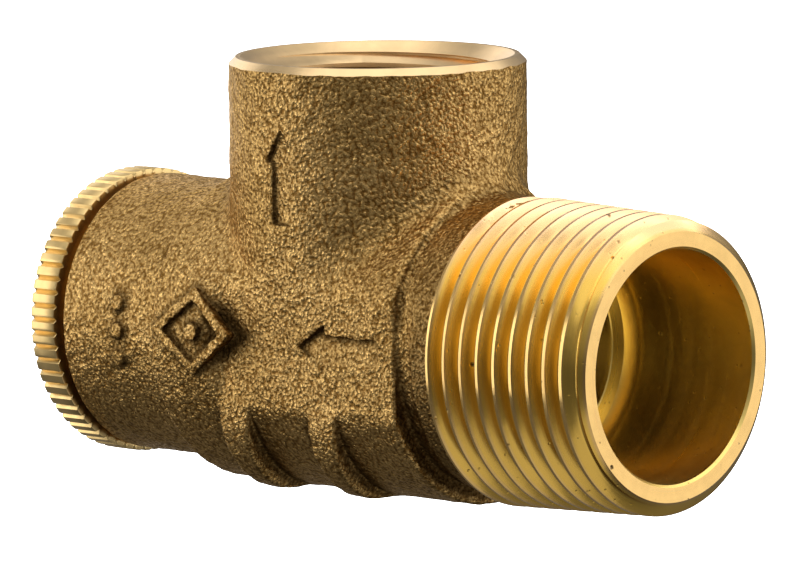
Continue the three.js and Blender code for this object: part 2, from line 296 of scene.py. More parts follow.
def casting(points):
    x, y, z = points[:, 0], points[:, 1], points[:, 2]
    run = np.hypot(y, z)
    boss = np.hypot(x, y)

    nose = round_bar(x, run, NOSE_END_X - 3, 0, NOSE_R, 0.4)
    barrel = round_bar(x, run, *BARREL, BARREL_R, 0.35)
    fade = np.clip((-6.5 - x) / 3.0, 0, 1)
    flat_limit = FLAT_Y + 1.2 * fade * fade * (3 - 2 * fade)
    barrel = smooth_max(barrel, np.abs(y) - flat_limit, 0.35)
    for start, end in RIBS:
        barrel = smooth_min(barrel, rib(x, y, z, start, end), 0.3)
    filled = np.clip((z + 1) / 7, 0, 1)
    neck = round_bar(x, run, 5, CREST_X + 0.1, GROOVE_R + 0.95 * filled, 0.05)
    collar = round_bar(x, run, NECK_X, CREST_X + 0.1, NECK_R, 0.05)
    body = smooth_min(nose, barrel, 0.4)
    body = smooth_min(body, smooth_min(neck, collar, 0.7), 0.4)

    tube = round_bar(z, boss, 0, RIM_Z + 2, BOSS_R, 0.4)
    flush = FLAT_Y + 0.45 * np.clip((z - 1) / 8, 0, 1)
    tube = smooth_max(tube, np.abs(y) - flush, 0.4)
    facing = np.abs(y) / np.maximum(np.maximum(run, boss), 1e-3)
    fillet = 0.1 + np.where(x > 0, 3.2 * (1 - facing) ** 0.5, 2.5 * (1 - facing) ** 0.8)
    body = smooth_min(body, tube, fillet)

    # flow arrows, cast in, deepest along one side
    angle_arc = np.arctan2(x, -y) * BOSS_R
    up = arrow(18.7 - z, angle_arc - 0.5, 2.7, 1.75, 1.0, 8.0)
    floor = BOSS_R - 0.5 + 0.4 * np.clip((angle_arc + 1.2) / 3.0, 0, 1)
    up = np.maximum(up, floor - boss)
    body = smooth_max(body, -np.where(y < 0, up, 5.0), 0.2)
    along = arrow(x - 2.1, z - 0.45, 2.9, 2.0, 1.1, 8.9)
    floor = FLAT_Y - 0.5 + 0.4 * np.clip((2.0 - z) / 3.0, 0, 1)
    along = np.maximum(along, y + floor)
    body = smooth_max(body, -np.where(y < 0, along, 5.0), 0.2)

    # generic foundry marks, raised: a lozenge with a pip on the barrel, three pips on the nose
    height = np.arctan2(z, -y) * BARREL_R
    lozenge = (np.abs(x + 9.4) * 0.8 + np.abs(height - 0.9)) / math.hypot(0.8, 1) - 2.5
    outline = np.abs(lozenge) - 0.42
    pip = np.hypot(x + 9.4, height - 0.9) - 0.75
    mark = np.maximum(np.minimum(outline, pip), np.abs(run - BARREL_R) - 0.5)
    body = smooth_min(body, np.where(y < 0, mark, 5.0), 0.2)
    height = np.arctan2(z, -y) * NOSE_R
    for place in (-2.4, 0.0, 2.4):
        pip = np.maximum(np.hypot(x + 19.8, height - place) - 0.7, np.abs(run - NOSE_R) - 0.35)
        body = smooth_min(body, np.where(y < 0, pip, 5.0), 0.3)

    # sand casting is never quite true
    swell = np.sin(1.7 * x + 0.6 * y + 0.4) * np.sin(1.9 * y - 0.5 * z + 1.1) * np.sin(1.6 * z + 0.7 * x + 2.0)
    ripple = np.sin(4.3 * x - 2.1 * z + 0.3) * np.sin(4.9 * z + 1.7 * y) * np.sin(4.1 * y + 1.3 * x + 0.9)
    return body + 0.05 * swell + 0.025 * ripple


def slope_of(field, points):
    return np.column_stack([(field(points + offset) - field(points - offset)) / 0.1
                            for offset in np.eye(3) * 0.05])


def recess_of(field, points):
    """How shut in each surface point is, from 0 in the open to 1 in a deep corner."""
    outward = slope_of(field, points)
    outward /= np.maximum(np.linalg.norm(outward, axis=1), 0.1)[:, None]
    shut = [1 - field(points + outward * reach) / reach for reach in (0.6, 1.2, 2.4)]
    return np.clip(np.mean(shut, axis=0) * 1.6, 0, 1)


def surface_net(field, low, high, step):
    """Closed quad mesh on the field's zero surface, its points then drawn onto that surface."""
    axes = [np.arange(a, b + step, step) for a, b in zip(low, high)]
    shape = [len(a) for a in axes]
    values = np.empty(shape, np.float32)
    plane = np.stack(np.meshgrid(axes[1], axes[2], indexing="ij"), -1).reshape(-1, 2)
    for i, x in enumerate(axes[0]):
        points = np.column_stack([np.full(len(plane), x), plane])
        values[i] = field(points).reshape(shape[1], shape[2])
    inside = values < 0
    cells = tuple(n - 1 for n in shape)
    corners = [(i, j, k) for i in (0, 1) for j in (0, 1) for k in (0, 1)]

    def corner(array, c):
        return array[c[0]:c[0] + cells[0], c[1]:c[1] + cells[1], c[2]:c[2] + cells[2]]

    count = sum(corner(inside, c).astype(np.int8) for c in corners)
    active = (count > 0) & (count < 8)
    where = np.argwhere(active)
    number = np.full(cells, -1, np.int64)
    number[active] = np.arange(len(where))
    total = np.zeros((len(where), 3))
    hits = np.zeros(len(where))
    for c in corners:
        for axis in range(3):
            if c[axis]:
                continue
            d = tuple(c[n] + (n == axis) for n in range(3))
            first = corner(values, c)[active]
            second = corner(values, d)[active]
            crossed = (first < 0) != (second < 0)
            share = np.where(crossed, first / np.where(crossed, first - second, 1), 0)
            place = np.tile(np.array(c, float), (len(where), 1))
            place[:, axis] += share
            total += place * crossed[:, None]
            hits += crossed
    points = (where + total / hits[:, None]) * step + np.array([a[0] for a in axes])
    for _ in range(3):
        here = field(points)
        slope = slope_of(field, points)
        size = np.maximum(np.sum(slope ** 2, axis=1), 0.25)
        move = np.clip(here / size, -0.5 * step, 0.5 * step)
        points -= move[:, None] * slope

    faces = []
    for axis in range(3):
        b, c = (axis + 1) % 3, (axis + 2) % 3
        core = [slice(1, -1)] * 3
        core[axis] = slice(0, -1)
        after = list(core)
        after[axis] = slice(1, None)
        first, second = inside[tuple(core)], inside[tuple(after)]
        crossing = np.argwhere(first != second)
        going_in = second[tuple(crossing.T)]
        for n in (b, c):
            crossing[:, n] += 1
        quad = []
        for db, dc in ((-1, -1), (0, -1), (0, 0), (-1, 0)):
            cell = crossing.copy()
            cell[:, b] += db
            cell[:, c] += dc
            quad.append(number[tuple(cell.T)])
        quad = np.column_stack(quad)
        quad[going_in] = quad[going_in][:, ::-1]
        faces.append(quad)
    return points, np.vstack(faces).tolist()


# ---- Materials ----

class Nodes:
    """A material's node tree, with short calls for the nodes used here."""

    def __init__(self, name):
        self.material = bpy.data.materials.new(name)
        self.material.use_nodes = True
        self.tree = self.material.node_tree
        self.tree.nodes.clear()
        self.out = self.tree.nodes.new("ShaderNodeOutputMaterial")
        self.shader = self.tree.nodes.new("ShaderNodeBsdfPrincipled")
        self.link(self.shader.outputs[0], self.out.inputs["Surface"])
        self.place = self.tree.nodes.new("ShaderNodeTexCoord").outputs["Object"]

    def link(self, source, target):
        self.tree.links.new(source, target)

    def set(self, **values):
        for key, value in values.items():
            self.shader.inputs[key.replace("_", " ")].default_value = value

    def math(self, operation, a, b=0.5):
        node = self.tree.nodes.new("ShaderNodeMath")
        node.operation = operation
        for socket, value in zip(node.inputs, (a, b)):
            if isinstance(value, (int, float)):
                socket.default_value = value
            else:
                self.link(value, socket)
        return node.outputs[0]

    def noise(self, vector, scale, detail=2.0, roughness=0.5, distortion=0.0):
        node = self.tree.nodes.new("ShaderNodeTexNoise")
        node.inputs["Scale"].default_value = scale
        node.inputs["Detail"].default_value = detail
        node.inputs["Roughness"].default_value = roughness
        node.inputs["Distortion"].default_value = distortion
        self.link(vector, node.inputs["Vector"])
        return node.outputs[0]

    def cells(self, vector, scale):
        node = self.tree.nodes.new("ShaderNodeTexVoronoi")
        node.inputs["Scale"].default_value = scale
        self.link(vector, node.inputs["Vector"])
        return node.outputs["Distance"]

    def span(self, value, low, high, to_low=0.0, to_high=1.0):
        node = self.tree.nodes.new("ShaderNodeMapRange")
        self.link(value, node.inputs["Value"])
        for key, number in (("From Min", low), ("From Max", high), ("To Min", to_low), ("To Max", to_high)):
            node.inputs[key].default_value = number
        return node.outputs[0]

    def mix(self, share, a, b):
        node = self.tree.nodes.new("ShaderNodeMix")
        node.data_type = "RGBA"
        self.link(share, node.inputs[0])
        for socket, value in ((node.inputs[6], a), (node.inputs[7], b)):
            if isinstance(value, tuple):
                socket.default_value = (*value, 1)
            else:
                self.link(value, socket)
        return node.outputs[2]

    def bump(self, height, distance, after=None):
        node = self.tree.nodes.new("ShaderNodeBump")
        node.inputs["Strength"].default_value = 1.0
        node.inputs["Distance"].default_value = distance
        self.link(height, node.inputs["Height"])
        if after is not None:
            self.link(after, node.inputs["Normal"])
        return node.outputs[0]

    def split_place(self):
        split = self.tree.nodes.new("ShaderNodeSeparateXYZ")
        self.link(self.place, split.inputs[0])
        return split.outputs

    def turned_place(self, axis):
        """A place along the axis, out from it and a little round it, whose noise makes turning marks, and how
        far out it is."""
        x, y, z = self.split_place()
        if axis == "x":
            along, first, second = x, y, z
        else:
            along, first, second = z, self.math("SUBTRACT", x, TEE_X), y
        squares = self.math("ADD", self.math("MULTIPLY", first, first), self.math("MULTIPLY", second, second))
        out = self.math("SQRT", squares)
        joined = self.tree.nodes.new("ShaderNodeCombineXYZ")
        self.link(along, joined.inputs[0])
        self.link(out, joined.inputs[1])
        self.link(self.math("MULTIPLY", first, 0.02), joined.inputs[2])
        return joined.outputs[0], along, out


def cast_skin():
    """Sand-cast bronze, tumbled: a pebbled skin, bright on worn tops, brown in the grain's hollows, where part
    of the brown is painted shade. Painted shade darkens shut-in corners and the groove before the thread, most
    low down.
    """
    n = Nodes("cast_skin")
    pebbles = n.math("SUBTRACT", 1.0, n.cells(n.place, 3000))
    grain = n.noise(n.place, 3700, 2.0, 0.5, 0.4)
    grain = n.math("ADD", n.math("MULTIPLY", grain, 0.62), n.math("MULTIPLY", pebbles, 0.34))
    broad = n.noise(n.place, 800, 2.0, 0.5)
    patches = n.noise(n.place, 150, 3.0, 0.55)
    # The recess attribute, how shut in each point is, sets painted shade in corners.
    shut = n.tree.nodes.new("ShaderNodeAttribute")
    shut.attribute_name = "recess"
    x, _, z = n.split_place()
    # Painted shade in the groove before the thread, heavier on its lower side.
    neck = n.span(x, (NECK_X - 1.2 - INLET_FACE_X) * MM, (NECK_X + 0.3 - INLET_FACE_X) * MM)
    neck = n.math("MULTIPLY", neck, n.span(z, 0.0, 0.010, 0.7, 0.3))
    # Painted shade mask: shut-in corners and the groove before the thread.
    painted_shade = n.math("MAXIMUM", n.span(shut.outputs["Fac"], 0.12, 0.7), neck)
    height = n.math("ADD", grain, n.math("MULTIPLY", broad, 0.9))
    # Colour follows the grain's height: brown in its hollows, partly painted cavity shade, and pale on worn
    # tops.
    hollow = n.mix(n.span(patches, 0.35, 0.65), (0.18, 0.088, 0.018), (0.25, 0.126, 0.029))
    worn = n.mix(n.span(patches, 0.35, 0.65), (0.74, 0.46, 0.155), (0.90, 0.58, 0.215))
    tone = n.mix(n.span(grain, 0.36, 0.66), hollow, worn)
    # Painted shade takes the skin towards near-black brown, and also makes it rougher.
    n.link(n.mix(n.math("MULTIPLY", painted_shade, 0.78), tone, (0.055, 0.026, 0.006)), n.shader.inputs["Base Color"])
    n.link(n.math("MAXIMUM", n.span(grain, 0.35, 0.68, 0.44, 0.22), n.math("MULTIPLY", painted_shade, 0.55)),
           n.shader.inputs["Roughness"])
    n.link(n.bump(height, 0.00021), n.shader.inputs["Normal"])
    n.set(Metallic=1.0, Specular_Tint=(1.0, 0.86, 0.66, 1))
    return n.material


def machined_brass(name, axis, colour, roughness, pits=True, threaded=False,
                   shaded_below=None):
    """Turned brass: fine tool lines, a few nicks and pin holes, slightly uneven tone. On a pipe thread,
    painted bounced light makes the flanks deep yellow low down, and a painted highlight makes the upper side
    pale. Below shaded_below on the axis the metal is painted brown as shade deep in a hole."""
    n = Nodes(name)
    lathe, along, out = n.turned_place(axis)
    lines = n.noise(lathe, 5200, 3.0, 0.65)
    broad = n.noise(lathe, 900, 2.0, 0.5)
    stain = n.noise(n.place, 420, 4.0, 0.6, 0.5)
    tone = n.mix(n.span(stain, 0.32, 0.7), tuple(c * 0.86 for c in colour), colour)
    if threaded:
        shrink = n.math("MULTIPLY", n.math("ADD", along, (INLET_FACE_X - CREST_X) * MM), PIPE_TAPER)
        crest = n.math("SUBTRACT", CREST_R * MM, shrink)
        # Painted bounced light: deeper below the crest the thread turns deep amber.
        depth = n.span(n.math("SUBTRACT", crest, out), 0.00008, 0.00028)
        in_thread = n.span(out, 0.01145, 0.01165)
        tone = n.mix(n.math("MULTIPLY", n.math("MULTIPLY", depth, in_thread), 0.9), tone, FLANK_BOUNCED_LIGHT_BRASS)
        # Painted highlight: the thread's upper side is paler, more so higher up.
        upper = n.span(n.split_place()[2], 0.008, 0.0125, 0.0, 0.75)
        top_highlight = n.math("MULTIPLY", upper, in_thread)
        tone = n.mix(top_highlight, tone, TOP_HIGHLIGHT_BRASS)
    # Painted shade: deep in a bore or below the mouth the brass goes dark brown.
    if shaded_below is not None:
        deep = n.span(along, (shaded_below - 0.5) * MM, shaded_below * MM, 0.5, 0.0)
        tone = n.mix(deep, tone, PAINTED_SHADE_BRASS)
    rough = n.span(broad, 0.3, 0.7, roughness - 0.05, roughness + 0.09)
    height = n.math("ADD", n.math("MULTIPLY", lines, 0.6), n.math("MULTIPLY", broad, 0.5))
    normal = n.bump(height, 0.0000065)
    if pits:
        nick = n.span(n.cells(n.place, 520), 0.04, 0.13, 1.0, 0.0)
        rare = n.span(n.noise(n.place, 210, 1.0), 0.52, 0.6)
        speck = n.span(n.cells(n.place, 1150), 0.05, 0.15, 0.35, 0.0)
        common = n.span(n.noise(n.place, 400, 1.0), 0.45, 0.55)
        hole = n.math("MAXIMUM", n.math("MULTIPLY", nick, rare), n.math("MULTIPLY", speck, common))
        tone = n.mix(hole, tone, (0.13, 0.075, 0.02))
        normal = n.bump(n.math("SUBTRACT", 1.0, hole), 0.00005, after=normal)
    n.link(tone, n.shader.inputs["Base Color"])
    n.link(rough, n.shader.inputs["Roughness"])
    n.link(normal, n.shader.inputs["Normal"])
    n.set(Metallic=1.0)
    return n.material


def plain_metal(name, axis, colour, roughness):
    n = Nodes(name)
    lathe = n.turned_place(axis)[0]
    lines = n.noise(lathe, 6000, 2.0, 0.6)
    cloud = n.noise(n.place, 700, 2.0)
    tone = n.mix(n.span(cloud, 0.3, 0.7), tuple(c * 0.9 for c in colour), colour)
    n.link(tone, n.shader.inputs["Base Color"])
    n.link(n.span(cloud, 0.3, 0.7, roughness - 0.04, roughness + 0.06), n.shader.inputs["Roughness"])
    n.link(n.bump(lines, 0.000005), n.shader.inputs["Normal"])
    n.set(Metallic=1.0)
    return n.material


def soft_plastic(name, colour, roughness, grain_depth, subsurface=0.0):
    n = Nodes(name)
    grain = n.noise(n.place, 3800, 3.0, 0.6)
    cloud = n.noise(n.place, 300, 2.0)
    tone = n.mix(n.span(cloud, 0.3, 0.7), tuple(c * 0.88 for c in colour), colour)
    n.link(tone, n.shader.inputs["Base Color"])
    n.link(n.span(grain, 0.3, 0.7, roughness - 0.05, roughness + 0.07), n.shader.inputs["Roughness"])
    n.link(n.bump(grain, grain_depth), n.shader.inputs["Normal"])
    n.set(Subsurface_Weight=subsurface)
    return n.material


# Painted bounced light: the deep amber low on a thread's flanks.
FLANK_BOUNCED_LIGHT_BRASS = (0.93, 0.58, 0.105)
# Painted highlight: the pale upper side of the thread.
TOP_HIGHLIGHT_BRASS = (0.95, 0.62, 0.39)
# Painted shade deep inside the bores.
PAINTED_SHADE_BRASS = (0.10, 0.05, 0.012)
CAST = cast_skin()
BRASS_X = machined_brass("brass_turned_on_run", "x", (0.90, 0.575, 0.205), 0.2, threaded=True)
# Painted dark brown as shade beyond the orifice, deep in the valve.
BRASS_BORE = machined_brass("brass_bored", "x", (1.0, 0.73, 0.22), 0.31,
                            shaded_below=ORIFICE_END_X - INLET_FACE_X - 0.1)
# Painted dark brown as shade below the mouth of the outlet.
BRASS_Z = machined_brass("brass_turned_on_outlet", "z", (0.94, 0.66, 0.34), 0.3, pits=False,
                         shaded_below=RIM_Z - MOUTH_DROP - 0.1)
# A darker, redder copy of the cap's brass: painted shade in the gap between cap and body.
PLUG_SHADE_BRASS = machined_brass("brass_plug_painted_dark", "x", (0.50, 0.22, 0.05), 0.45, pits=False)
BRASS_CAP = machined_brass("brass_cap", "x", (0.90, 0.64, 0.27), 0.31, pits=False)
BRASS_PART = machined_brass("brass_small_parts", "x", (0.80, 0.60, 0.27), 0.26, pits=False)
STEEL = plain_metal("stainless", "x", (0.60, 0.60, 0.61), 0.24)
RUBBER = soft_plastic("black_rubber", (0.028, 0.028, 0.030), 0.62, 0.00002)
PTFE = soft_plastic("white_ptfe", (0.84, 0.83, 0.80), 0.42, 0.00001, 0.15)
NYLON = soft_plastic("natural_nylon", (0.72, 0.67, 0.54), 0.38, 0.00001, 0.2)


# ---- Valve body ----

def inlet_crest(x):
    return CREST_R + 0.05 - (x - CREST_X) * PIPE_TAPER


def inlet_thread():
    """The machined male end: a helical ridge trimmed to the blank that the die was run onto."""
    points, faces = thread_ridge(CREST_X + 0.2 - 2 * PIPE_PITCH, INLET_FACE_X + 2 * PIPE_PITCH, PIPE_PITCH,
                                 inlet_crest, THREAD_DEPTH)
    ridge = make_object("inlet_ridge", points, faces, BRASS_X)
    blank = [
        (CREST_X - 4.0, 0),
        (CREST_X - 4.0, 10.5),
        (CREST_X - 0.2, 10.8),
        (CREST_X - 0.1, CREST_R),
        (INLET_FACE_X - 0.95, CREST_R - (INLET_FACE_X - 0.95 - CREST_X) * PIPE_TAPER - 0.1),
        (INLET_FACE_X - 0.06, 11.43),
        (INLET_FACE_X, 11.37),
        (INLET_FACE_X, 0),
    ]
    return combine(ridge, make_object("inlet_blank", *turned(blank), BRASS_X), "INTERSECT")


def run_cutter():
    """Everything machined along the run: nose face, spring chamber, seat lip, orifice and inlet bore."""
    far = 30
    return make_object("run_cutter", *turned([
        (NOSE_END_X - 8, 0),
        (NOSE_END_X - 8, far),
        (NOSE_END_X, far),
        (NOSE_END_X, NOSE_R - 0.12),
        (NOSE_END_X, CHAMBER_R + 0.35),
        (NOSE_END_X + 0.35, CHAMBER_R),
        (SEAT_FLOOR_X, CHAMBER_R),
        (SEAT_FLOOR_X, SEAT_LIP_R + 0.4),
        (SEAT_X, SEAT_LIP_R),
        (SEAT_X, ORIFICE_R + 0.2),
        (SEAT_X + 0.2, ORIFICE_R),
        (ORIFICE_END_X - 0.1, ORIFICE_R),
        (ORIFICE_END_X, ORIFICE_R + 0.1),
        (ORIFICE_END_X + 0.15, INLET_BORE_R - 0.6),
        (ORIFICE_END_X + 0.7, INLET_BORE_R - 0.15),
        (ORIFICE_END_X + 1.6, INLET_BORE_R),
        (INLET_FACE_X - 0.22, INLET_BORE_R),
        (INLET_FACE_X + 0.2, INLET_BORE_R + 0.42),
        (INLET_FACE_X + 2, INLET_BORE_R + 0.42),
        (INLET_FACE_X + 2, 0),
    ]), BRASS_BORE)


def outlet_cutter():
    """The countersunk mouth with its bevelled rim and land, and the passage down into the chamber."""
    mouth_z = RIM_Z - MOUTH_DROP
    points, faces = turned([
        (6.0, 0),
        (6.0, PASSAGE_R),
        (mouth_z - 12.6, PASSAGE_R),
        (mouth_z - 12.0, 9.0),
        (mouth_z - 1.2, 9.3),
        (mouth_z, MOUTH_R),
        (RIM_Z, RIM_LAND[0]),
        (RIM_Z, RIM_LAND[1]),
        (RIM_Z - 4.0, RIM_LAND[1] + 4.0),
        (RIM_Z + 6.0, RIM_LAND[1] + 4.0),
        (RIM_Z + 6.0, 0),
    ])
    return make_object("outlet_cutter", upright(points), faces, BRASS_Z)


def outlet_tap():
    """The tap that cuts the female thread, trimmed so that it starts at the mouth."""
    mouth_z = RIM_Z - MOUTH_DROP
    bottom = mouth_z - 11.6

    def crest(z):
        return 10.6 + (z - mouth_z) * PIPE_TAPER

    points, faces = thread_ridge(bottom - PIPE_PITCH - 0.2, mouth_z + 2 * PIPE_PITCH, PIPE_PITCH, crest, 1.5)
    ridge = make_object("tap_ridge", upright(points), faces, BRASS_Z)
    blank = [
        (bottom - 1, 0),
        (bottom - 1, 9.0),
        (bottom + 1.2, 10.6),
        (RIM_Z + 0.2, 10.66),
        (RIM_Z + 0.2, 0),
    ]
    points, faces = turned(blank)
    return combine(ridge, make_object("tap_blank", upright(points), faces, BRASS_Z), "INTERSECT")


def valve_body():
    low = (NOSE_END_X - 3.6, -BARREL_R - 1.2, -BARREL_R - 1.2)
    high = (CREST_X + 1.8, BARREL_R + 1.2, RIM_Z + 3.0)
    points, faces = surface_net(casting, low, high, VOXEL)
    body = make_object("body", points, faces, CAST)
    # How shut in each point is, which the skin's material turns into painted shade.
    recess = body.data.attributes.new("recess", "FLOAT", "POINT")
    recess.data.foreach_set("value", recess_of(casting, points))
    combine(body, inlet_thread(), "UNION")
    combine(body, run_cutter(), "DIFFERENCE")
    combine(body, outlet_cutter(), "DIFFERENCE")
    combine(body, outlet_tap(), "DIFFERENCE")
    return finish_piece(body, "valve", "cast_bronze", "valve_body")


# ---- Adjusting cap ----

def knurled_disc():
    """Straight-knurled disc: flat-topped ridges round the rim, bevelled at both edges, a dished face."""
    per_ridge = 10
    segments = CAP_RIDGES * per_ridge
    depth = 0.34
    notch = [0, 0, 0, 0, 0, 0, 0.1, 0.75, 1, 0.5]
    rings = [
        (CAP_X[0] + 0.4, 0, 0),
        (CAP_X[0] + 0.4, 8.3, 0),
        (CAP_X[0] + 0.3, 8.6, 0),
        (CAP_X[0], 8.9, 0),
        (CAP_X[0], 11.8, 0),
        (CAP_X[0], CAP_R - 0.2, 0.7),
        (CAP_X[0] + 0.06, CAP_R - 0.05, 1),
        (CAP_X[0] + 0.18, CAP_R, 1),
        (CAP_X[1] - 0.1, CAP_R, 1),
        (CAP_X[1] - 0.03, CAP_R - 0.04, 1),
        (CAP_X[1], CAP_R - 0.1, 0.9),
        (CAP_X[1], 11.6, 0),
        (CAP_X[1], 0, 0),
    ]
    points, starts = [], []
    for x, radius, share in rings:
        starts.append(len(points))
        if radius == 0:
            points.append((x, 0, 0))
            continue
        for i in range(segments):
            angle = 2 * math.pi * i / segments
            r = radius - depth * share * notch[i % per_ridge]
            points.append((x, r * math.cos(angle), r * math.sin(angle)))
    faces = []
    for a in range(len(rings) - 1):
        low, high = starts[a], starts[a + 1]
        for i in range(segments):
            j = (i + 1) % segments
            if rings[a][1] == 0:
                faces.append((low, high + j, high + i))
            elif rings[a + 1][1] == 0:
                faces.append((low + i, low + j, high))
            else:
                faces.append((low + i, low + j, high + j, high + i))
    return make_object("cap", points, faces, BRASS_CAP)


def block(name, low, high, material):
    corners = [(x, y, z) for x in (low[0], high[0]) for y in (low[1], high[1]) for z in (low[2], high[2])]
    faces = [(0, 1, 3, 2), (4, 6, 7, 5), (0, 4, 5, 1), (2, 3, 7, 6), (0, 2, 6, 4), (1, 5, 7, 3)]
    return make_object(name, corners, faces, material)


def adjusting_cap():
    cap = knurled_disc()
    pitch = 1.27
    points, faces = thread_ridge(-28.4, -20.0, pitch, lambda x: 10.26, 0.62)
    thread = make_object("cap_thread", points, faces, PLUG_SHADE_BRASS)
    blank = [(-26.3, 0), (-26.3, 9.6), (-25.8, 10.2), (-21.2, 10.2), (-20.7, 9.7), (-20.7, 0)]
    combine(thread, make_object("cap_blank", *turned(blank), BRASS_CAP), "INTERSECT")
    core = make_object("cap_plug", *turned([
        (CAP_X[1] - 0.5, 0),
        (CAP_X[1] - 0.5, 9.62),
        (-21.0, 9.62),
        (-20.6, 9.95),
        (-19.6, 9.95),
        (-19.6, 8.4),
        (-17.6, 8.4),
        (-17.6, 9.95),
        (-17.0, 9.95),
        (-16.65, 9.6),
        (-16.65, 0),
    ]), PLUG_SHADE_BRASS)
    combine(cap, core, "UNION")
    combine(cap, thread, "UNION")
    hollow = make_object("cap_hollow", *turned([
        (-26.4, 0), (-26.4, 6.4), (-25.8, 7.0), (-17.0, 7.0), (-16.4, 7.6), (-15.0, 7.6), (-15.0, 0),
    ]), BRASS_CAP)
    combine(cap, hollow, "DIFFERENCE")
    slot = block("cap_slot", (CAP_X[0] - 1, -0.8, -7.4), (CAP_X[0] + 1.5, 0.8, 7.4), BRASS_CAP)
    combine(cap, slot, "DIFFERENCE")
    return finish_piece(cap, "cap", "machined_brass", "adjusting_cap")


# ---- Turned inner pieces ----

STEM_R = 2.5
SPRING_X = (-13.5, 3.0)
INNER = (
    # piece, node, body, slot, material, edge rounding, (along, radius) profile
    ("washer_thrust", "thrust_washer", "button", "natural_nylon", NYLON, 0.12,
     [(-16.6, 5.0), (-16.6, 9.3), (-15.4, 9.3), (-15.4, 5.0), (-16.6, 5.0)]),
    ("button", "spring_button", "button", "machined_brass", BRASS_PART, 0.15,
     [(-15.35, 3.26), (-15.35, 9.3), (-13.55, 9.3), (-13.55, 5.3), (-11.4, 5.3), (-11.0, 4.9),
      (-11.0, 3.26), (-15.35, 3.26)]),
    ("bushing", "stem_bushing", "button", "white_ptfe", PTFE, 0.1,
     [(-16.2, 2.58), (-16.2, 4.6), (-15.4, 4.6), (-15.4, 3.2), (-11.0, 3.2), (-11.0, 2.58), (-16.2, 2.58)]),
    ("step", "spring_step", "poppet", "stainless", STEEL, 0.12,
     [(3.05, 5.45), (3.05, 8.4), (4.25, 8.4), (4.25, 5.45), (3.05, 5.45)]),
    ("stem", "guide_stem", "poppet", "stainless", STEEL, 0.1,
     [(-21.8, 0), (-21.8, 2.1), (-21.4, STEM_R), (-20.88, STEM_R), (-20.88, 1.9), (-20.12, 1.9),
      (-20.12, STEM_R), (3.3, STEM_R), (3.3, 0)]),
    ("holder", "disc_holder", "poppet", "machined_brass", BRASS_PART, 0.15,
     [(-2.0, 2.56), (-2.0, 4.9), (-1.6, 5.3), (4.3, 5.3), (4.3, 9.25), (4.8, 9.75), (9.0, 9.75),
      (9.0, 9.2), (7.1, 9.2), (7.1, 2.1), (3.6, 2.1), (3.6, 2.56), (-2.0, 2.56)]),
    ("disc", "seat_disc", "poppet", "black_rubber", RUBBER, 0.2,
     [(7.15, 2.1), (7.15, 9.1), (9.7, 9.1), (9.7, 2.1), (7.15, 2.1)]),
    ("disc_plate", "disc_washer", "poppet", "stainless", STEEL, 0.15,
     [(9.75, 2.1), (9.75, 4.8), (10.8, 4.8), (10.8, 2.1), (9.75, 2.1)]),
)


def inner_pieces():
    for name, node, body, slot, material, edge, profile in INNER:
        piece = make_object(name, *turned(eased(profile, edge), 96), material)
        finish_piece(piece, body, slot, node)


def o_ring():
    sides = 24
    profile = []
    for i in range(sides + 1):
        angle = 2 * math.pi * (i % sides) / sides
        profile.append((-18.6 + 0.88 * math.sin(angle), 9.35 + 0.88 * math.cos(angle)))
    ring = make_object("o_ring", *turned(profile, 96), RUBBER)
    return finish_piece(ring, "cap", "black_rubber", "cap_o_ring", sharp_degrees=60)


def disc_screw():
    screw = make_object("screw", *turned(eased([
        (4.1, 0), (4.1, 1.55), (4.5, 1.95), (10.85, 1.95), (10.85, 3.4), (12.0, 3.4), (12.6, 2.9),
        (12.9, 1.9), (12.9, 0)], 0.12), 96), STEEL)
    combine(screw, block("screw_slot", (12.0, -5, -0.45), (14, 5, 0.45), STEEL), "DIFFERENCE")
    return finish_piece(screw, "poppet", "stainless", "disc_screw")


def stem_clip():
    clip = make_object("clip", *turned(eased([
        (-20.8, 3.1), (-20.8, 4.3), (-20.2, 4.3), (-20.2, 3.1), (-20.8, 3.1)], 0.08), 96), STEEL)
    combine(clip, block("clip_mouth", (-22, -2.4, -6), (-19, 2.4, 0), STEEL), "DIFFERENCE")
    for name, low, high in (
            ("lug_left", (-20.8, -3.8, -0.6), (-20.2, -1.98, 0.6)),
            ("lug_right", (-20.8, 1.98, -0.6), (-20.2, 3.8, 0.6)),
            ("lug_top", (-20.8, -0.6, 1.98), (-20.2, 0.6, 3.8))):
        combine(clip, block(name, low, high, STEEL), "UNION")
    return finish_piece(clip, "poppet", "stainless", "stem_clip")


